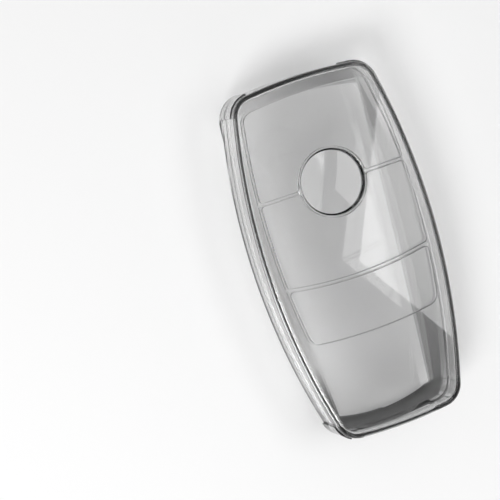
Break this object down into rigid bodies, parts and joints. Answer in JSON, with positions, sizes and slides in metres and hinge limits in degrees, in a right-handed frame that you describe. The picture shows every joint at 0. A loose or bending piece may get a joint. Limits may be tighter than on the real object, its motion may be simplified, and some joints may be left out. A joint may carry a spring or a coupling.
{
  "type": "key fob cover",
  "caption": "Clear snap-together key fob cover with a flat back, sloped flanks, soft button pads, a ringed round window and a slot for the key loop.",
  "frame": {"origin": "middle of the cover's plan, on the flat back it lies on", "axes": "+X across the cover, +Y towards the tip end, away from the loop slot, +Z out of the front face with the buttons"},
  "size_m": [0.0442, 0.087, 0.017],
  "materials": {
    "clear_case": "gloss",
    "clear_pad": "gloss",
    "clear_window": "gloss"
  },
  "bodies": {
    "back": {"back_shell": "clear_case"},
    "front": {"front_shell": "clear_case", "centre_disc": "clear_window"},
    "unlock_button": {"unlock_pad": "clear_pad"},
    "lock_button": {"lock_pad": "clear_pad"},
    "trunk_button": {"trunk_pad": "clear_pad"}
  },
  "joints": [
    {"name": "front_lift", "type": "slide", "parent": "back", "child": "front", "axis": [0, 0, 1], "range_m": [0, 0.03]},
    {"name": "unlock_press", "type": "slide", "parent": "front", "child": "unlock_button", "axis": [0, 0, -1], "range_m": [0, 0.0007], "stiffness_N_per_m": 800},
    {"name": "lock_press", "type": "slide", "parent": "front", "child": "lock_button", "axis": [0, 0, -1], "range_m": [0, 0.0007], "stiffness_N_per_m": 800},
    {"name": "trunk_press", "type": "slide", "parent": "front", "child": "trunk_button", "axis": [0, 0, -1], "range_m": [0, 0.0007], "stiffness_N_per_m": 800}
  ]
}
